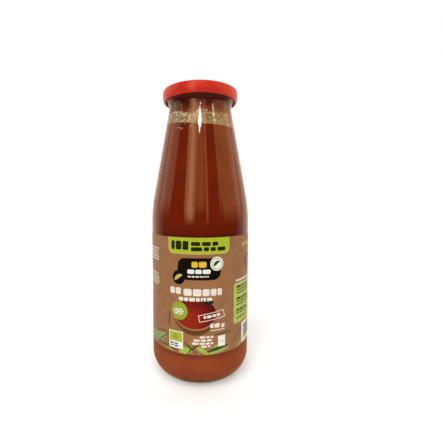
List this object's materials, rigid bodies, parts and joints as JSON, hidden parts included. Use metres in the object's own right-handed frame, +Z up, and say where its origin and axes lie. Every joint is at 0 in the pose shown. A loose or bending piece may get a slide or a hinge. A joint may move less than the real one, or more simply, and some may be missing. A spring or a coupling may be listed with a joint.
{
  "type": "passata bottle",
  "caption": "Clear glass bottle of sieved tomato with a sloping shoulder, a red twist-off metal lid and a brown paper label.",
  "frame": {"origin": "middle of the flat ring that the bottle stands on", "axes": "+Z up along the bottle's axis; the label's front faces -Y and +X is to the right of it"},
  "size_m": [0.0772, 0.0774, 0.22],
  "materials": {
    "flint_glass": "moulded, smooth and clear",
    "lid_enamel": "glossy red enamel on tinplate",
    "label_paper": "matt brown paper, printed",
    "passata": "wet, smooth and opaque, with fine pulp"
  },
  "bodies": {
    "root": {"bottle": "flint_glass", "lid": "lid_enamel", "label": "label_paper", "passata": "passata"}
  },
  "joints": []
}
